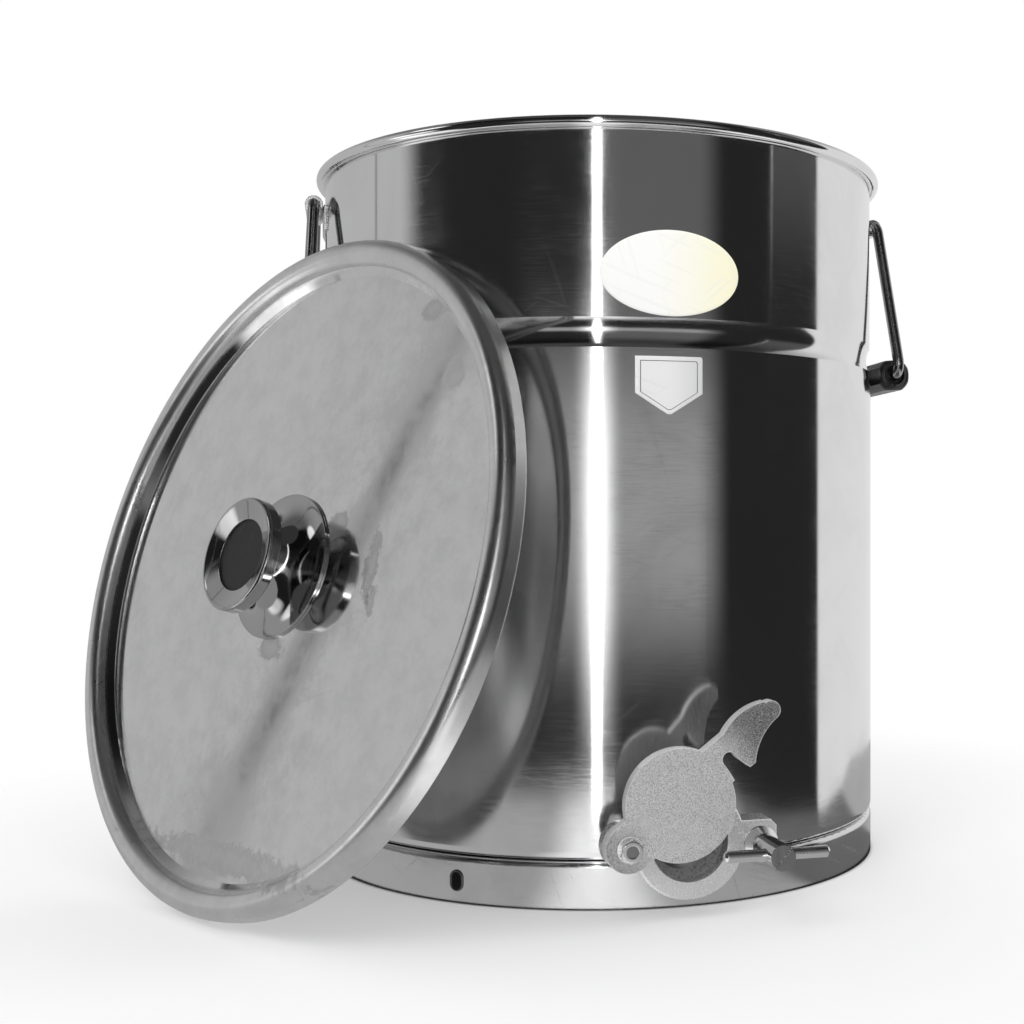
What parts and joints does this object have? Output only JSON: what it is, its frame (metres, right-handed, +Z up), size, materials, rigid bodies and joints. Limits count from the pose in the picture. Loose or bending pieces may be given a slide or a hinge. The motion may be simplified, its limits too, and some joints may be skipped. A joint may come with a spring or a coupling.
{
  "type": "honey settling tank",
  "caption": "Round stainless settling tank with drop handles, a swing gate with a clamp screw at its foot, and a knobbed lid leaning against it.",
  "frame": {"origin": "middle of the skirt's lower edge, on the floor under the tank's axis", "axes": "+Z up the tank's axis, -Y out of the gate, +X to the right as seen from the gate's side"},
  "size_m": [0.4711, 0.4148, 0.388],
  "materials": {
    "polished_sheet": "polished",
    "satin_sheet": "satin",
    "gate_casting": "smooth cast",
    "blade_casting": "grained cast",
    "bright_metal": "bright",
    "black_plastic": "moulded"
  },
  "bodies": {
    "tank": {"tank_shell": "polished_sheet", "tank_floor": "satin_sheet", "base_ring": "satin_sheet", "gate_spigot": "satin_sheet", "gate_body": "gate_casting", "pivot_bolt": "bright_metal", "pivot_washer": "bright_metal", "pivot_nut": "bright_metal", "bracket_right": "satin_sheet", "bracket_left": "satin_sheet"},
    "blade": {"gate_blade": "blade_casting"},
    "clamp": {"clamp_washer": "bright_metal"},
    "screw": {"clamp_screw": "bright_metal", "tommy_bar": "bright_metal"},
    "handle_right": {"bail_right": "bright_metal", "grip_right": "black_plastic"},
    "handle_left": {"bail_left": "bright_metal", "grip_left": "black_plastic"},
    "lid": {"lid_pan": "polished_sheet", "lid_knob": "bright_metal", "knob_plug": "black_plastic", "knob_screw": "bright_metal", "knob_washer": "bright_metal"}
  },
  "joints": [
    {"name": "blade_swing", "type": "hinge", "parent": "tank", "child": "blade", "pos_m": [-0.0315, -0.19, 0.0375], "axis": [0, -1, 0], "range_deg": [-37.2, 73.5]},
    {"name": "clamp_travel", "type": "slide", "parent": "tank", "child": "clamp", "axis": [0, -1, 0], "range_m": [-0.004, 0.001]},
    {"name": "clamp_turn", "type": "hinge", "parent": "clamp", "child": "screw", "pos_m": [0.0315, -0.2, 0.0375], "axis": [0, -1, 0], "range_deg": [-1443, 363]},
    {"name": "handle_right_swing", "type": "hinge", "parent": "tank", "child": "handle_right", "pos_m": [0.16569, -0.01013, 0.368], "axis": [-0.061, -0.9981, 0], "range_deg": [0, 165]},
    {"name": "handle_left_swing", "type": "hinge", "parent": "tank", "child": "handle_left", "pos_m": [-0.16569, 0.01013, 0.368], "axis": [0.061, 0.9981, 0], "range_deg": [0, 0.5]},
    {"name": "lid_lift", "type": "slide", "parent": "tank", "child": "lid", "axis": [-0.8215, -0.5054, 0.2639], "range_m": [0, 0.3]}
  ],
  "couplings": [
    {"joint": "clamp_turn", "follows": "clamp_travel", "rad_per_m": 6283.2}
  ]
}
